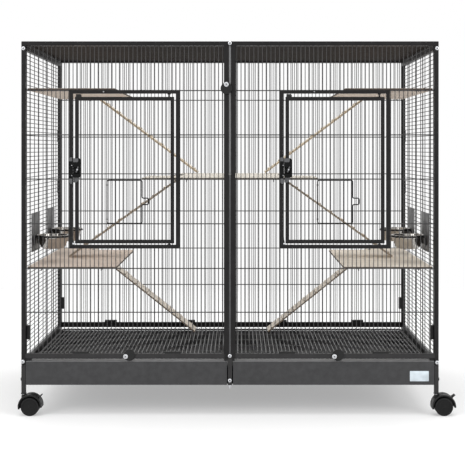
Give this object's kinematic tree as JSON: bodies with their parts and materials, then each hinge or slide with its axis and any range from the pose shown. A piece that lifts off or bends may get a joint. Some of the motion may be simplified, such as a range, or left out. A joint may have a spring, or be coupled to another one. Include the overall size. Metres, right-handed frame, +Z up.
{
  "type": "ferret cage",
  "caption": "Wheeled two-bay small-animal cage of dark steel tube and wire mesh, with hinged doors, wood shelves and ladders, pull-out trays and bowls.",
  "frame": {"origin": "middle of the footprint, on the floor under the wheels", "axes": "+X along the width to the right seen from the front, +Y towards the back, +Z up; the doors face -Y"},
  "size_m": [1.241, 0.704, 1.03],
  "materials": {
    "frame_steel": "dark anthracite powder coat, satin",
    "floor_steel": "dark powder-coated wire",
    "tray_steel": "dark grey powder-coated sheet, satin",
    "black_plastic": "matte black moulding",
    "latch_steel": "dark grey coated steel, satin",
    "bright_steel": "bright zinc-plated steel",
    "bowl_steel": "polished stainless steel with a dark rim ring",
    "holder_steel": "grey powder coat, satin",
    "wood": "pale bare wood, matte",
    "caster_plastic": "black moulding, matte"
  },
  "bodies": {
    "cage": {"front_panel_left": "frame_steel", "rear_panel_left": "frame_steel", "side_panel_left": "frame_steel", "top_panel_left": "frame_steel", "base_side_left": "frame_steel", "floor_grille_left": "floor_steel", "latch_keeper_left": "frame_steel", "button_screw_tray_left": "bright_steel", "shelf_upper_left": "wood", "shelf_lower_left": "wood", "front_panel_right": "frame_steel", "rear_panel_right": "frame_steel", "side_panel_right": "frame_steel", "top_panel_right": "frame_steel", "base_side_right": "frame_steel", "floor_grille_right": "floor_steel", "latch_keeper_right": "frame_steel", "button_screw_tray_right": "bright_steel", "shelf_upper_right": "wood", "shelf_lower_right": "wood", "base_middle": "frame_steel", "button_screw_top": "bright_steel", "shelf_middle": "wood", "bowl_holder_front_left": "holder_steel", "bowl_holder_front_right": "holder_steel", "bowl_holder_rear_left": "holder_steel", "bowl_holder_rear_right": "holder_steel"},
    "door_left": {"door_left": "frame_steel", "latch_body_left": "black_plastic"},
    "hatch_left": {"hatch_left": "frame_steel"},
    "latch_bolt_left": {"latch_bolt_left": "latch_steel"},
    "tray_left": {"tray_left": "tray_steel"},
    "turn_button_tray_left": {"turn_button_tray_left": "black_plastic"},
    "door_right": {"door_right": "frame_steel", "latch_body_right": "black_plastic"},
    "hatch_right": {"hatch_right": "frame_steel"},
    "latch_bolt_right": {"latch_bolt_right": "latch_steel"},
    "tray_right": {"tray_right": "tray_steel"},
    "turn_button_tray_right": {"turn_button_tray_right": "black_plastic"},
    "turn_button_top": {"turn_button_top": "black_plastic"},
    "ramp_upper_left": {"ramp_upper_left": "wood"},
    "ramp_middle_left": {"ramp_middle_left": "wood"},
    "ramp_lower_left": {"ramp_lower_left": "wood"},
    "ramp_upper_right": {"ramp_upper_right": "wood"},
    "ramp_middle_right": {"ramp_middle_right": "wood"},
    "ramp_lower_right": {"ramp_lower_right": "wood"},
    "bowl_front_left": {"bowl_front_left": "bowl_steel"},
    "bowl_front_right": {"bowl_front_right": "bowl_steel"},
    "bowl_rear_left": {"bowl_rear_left": "bowl_steel"},
    "bowl_rear_right": {"bowl_rear_right": "bowl_steel"},
    "caster_front_left": {"caster_fork_front_left": "caster_plastic"},
    "wheels_front_left": {"caster_wheels_front_left": "caster_plastic"},
    "brake_front_left": {"brake_lever_front_left": "black_plastic"},
    "caster_front_right": {"caster_fork_front_right": "caster_plastic"},
    "wheels_front_right": {"caster_wheels_front_right": "caster_plastic"},
    "brake_front_right": {"brake_lever_front_right": "black_plastic"},
    "caster_rear_left": {"caster_fork_rear_left": "caster_plastic"},
    "wheels_rear_left": {"caster_wheels_rear_left": "caster_plastic"},
    "caster_rear_right": {"caster_fork_rear_right": "caster_plastic"},
    "wheels_rear_right": {"caster_wheels_rear_right": "caster_plastic"}
  },
  "joints": [
    {"name": "door_left_hinge", "type": "hinge", "parent": "cage", "child": "door_left", "pos_m": [-0.168, -0.3325, 0.675], "axis": [0, 0, 1], "range_deg": [0, 145]},
    {"name": "hatch_left_hinge", "type": "hinge", "parent": "door_left", "child": "hatch_left", "pos_m": [-0.33875, -0.33685, 0.5885], "axis": [0, 0, -1], "range_deg": [0, 110]},
    {"name": "latch_bolt_left_slide", "type": "slide", "parent": "door_left", "child": "latch_bolt_left", "axis": [-1, 0, 0], "range_m": [0, 0.008]},
    {"name": "tray_left_slide", "type": "slide", "parent": "cage", "child": "tray_left", "axis": [0, -1, 0], "range_m": [0, 0.5]},
    {"name": "turn_button_tray_left_pivot", "type": "hinge", "parent": "cage", "child": "turn_button_tray_left", "pos_m": [-0.2872, -0.34065, 0.1628], "axis": [0, -1, 0], "range_deg": [-108, 72]},
    {"name": "door_right_hinge", "type": "hinge", "parent": "cage", "child": "door_right", "pos_m": [0.412, -0.3325, 0.675], "axis": [0, 0, 1], "range_deg": [0, 145]},
    {"name": "hatch_right_hinge", "type": "hinge", "parent": "door_right", "child": "hatch_right", "pos_m": [0.24125, -0.33685, 0.5885], "axis": [0, 0, -1], "range_deg": [0, 110]},
    {"name": "latch_bolt_right_slide", "type": "slide", "parent": "door_right", "child": "latch_bolt_right", "axis": [-1, 0, 0], "range_m": [0, 0.008]},
    {"name": "tray_right_slide", "type": "slide", "parent": "cage", "child": "tray_right", "axis": [0, -1, 0], "range_m": [0, 0.5]},
    {"name": "turn_button_tray_right_pivot", "type": "hinge", "parent": "cage", "child": "turn_button_tray_right", "pos_m": [0.2872, -0.34065, 0.1628], "axis": [0, -1, 0], "range_deg": [-108, 72]},
    {"name": "turn_button_top_pivot", "type": "hinge", "parent": "cage", "child": "turn_button_top", "pos_m": [-0.01, -0.34065, 0.911], "axis": [0, -1, 0], "range_deg": [-90, 90]},
    {"name": "ramp_upper_left_lift", "type": "hinge", "parent": "cage", "child": "ramp_upper_left", "pos_m": [-0.433, 0.2715, 0.8985], "axis": [0, -1, 0], "range_deg": [0, 33]},
    {"name": "ramp_middle_left_lift", "type": "hinge", "parent": "cage", "child": "ramp_middle_left", "pos_m": [-0.1705, -0.009, 0.634], "axis": [0, 1, 0], "range_deg": [0, 28]},
    {"name": "ramp_lower_left_lift", "type": "hinge", "parent": "cage", "child": "ramp_lower_left", "pos_m": [-0.446, 0.2715, 0.4045], "axis": [0, -1, 0], "range_deg": [0, 35]},
    {"name": "ramp_upper_right_lift", "type": "hinge", "parent": "cage", "child": "ramp_upper_right", "pos_m": [0.433, 0.2715, 0.8985], "axis": [0, 1, 0], "range_deg": [0, 33]},
    {"name": "ramp_middle_right_lift", "type": "hinge", "parent": "cage", "child": "ramp_middle_right", "pos_m": [0.1705, -0.009, 0.634], "axis": [0, -1, 0], "range_deg": [0, 28]},
    {"name": "ramp_lower_right_lift", "type": "hinge", "parent": "cage", "child": "ramp_lower_right", "pos_m": [0.446, 0.2715, 0.4045], "axis": [0, 1, 0], "range_deg": [0, 35]},
    {"name": "bowl_front_left_lift", "type": "slide", "parent": "cage", "child": "bowl_front_left", "axis": [0, 0, 1], "range_m": [0, 0.06]},
    {"name": "bowl_front_right_lift", "type": "slide", "parent": "cage", "child": "bowl_front_right", "axis": [0, 0, 1], "range_m": [0, 0.06]},
    {"name": "bowl_rear_left_lift", "type": "slide", "parent": "cage", "child": "bowl_rear_left", "axis": [0, 0, 1], "range_m": [0, 0.06]},
    {"name": "bowl_rear_right_lift", "type": "slide", "parent": "cage", "child": "bowl_rear_right", "axis": [0, 0, 1], "range_m": [0, 0.06]},
    {"name": "caster_front_left_swivel", "type": "hinge", "parent": "cage", "child": "caster_front_left", "pos_m": [-0.569, -0.3315, 0.057], "axis": [0, 0, 1], "continuous": true},
    {"name": "wheels_front_left_roll", "type": "hinge", "parent": "caster_front_left", "child": "wheels_front_left", "pos_m": [-0.55, -0.3315, 0.025], "axis": [0, 1, 0], "continuous": true},
    {"name": "brake_front_left_pivot", "type": "hinge", "parent": "caster_front_left", "child": "brake_front_left", "pos_m": [-0.52694, -0.3315, 0.04924], "axis": [0, 1, 0], "range_deg": [0, 25]},
    {"name": "caster_front_right_swivel", "type": "hinge", "parent": "cage", "child": "caster_front_right", "pos_m": [0.569, -0.3315, 0.057], "axis": [0, 0, 1], "continuous": true},
    {"name": "wheels_front_right_roll", "type": "hinge", "parent": "caster_front_right", "child": "wheels_front_right", "pos_m": [0.588, -0.3315, 0.025], "axis": [0, 1, 0], "continuous": true},
    {"name": "brake_front_right_pivot", "type": "hinge", "parent": "caster_front_right", "child": "brake_front_right", "pos_m": [0.61106, -0.3315, 0.04924], "axis": [0, 1, 0], "range_deg": [0, 25]},
    {"name": "caster_rear_left_swivel", "type": "hinge", "parent": "cage", "child": "caster_rear_left", "pos_m": [-0.569, 0.3315, 0.057], "axis": [0, 0, 1], "continuous": true},
    {"name": "wheels_rear_left_roll", "type": "hinge", "parent": "caster_rear_left", "child": "wheels_rear_left", "pos_m": [-0.588, 0.3315, 0.025], "axis": [0, 1, 0], "continuous": true},
    {"name": "caster_rear_right_swivel", "type": "hinge", "parent": "cage", "child": "caster_rear_right", "pos_m": [0.569, 0.3315, 0.057], "axis": [0, 0, 1], "continuous": true},
    {"name": "wheels_rear_right_roll", "type": "hinge", "parent": "caster_rear_right", "child": "wheels_rear_right", "pos_m": [0.55, 0.3315, 0.025], "axis": [0, 1, 0], "continuous": true}
  ]
}
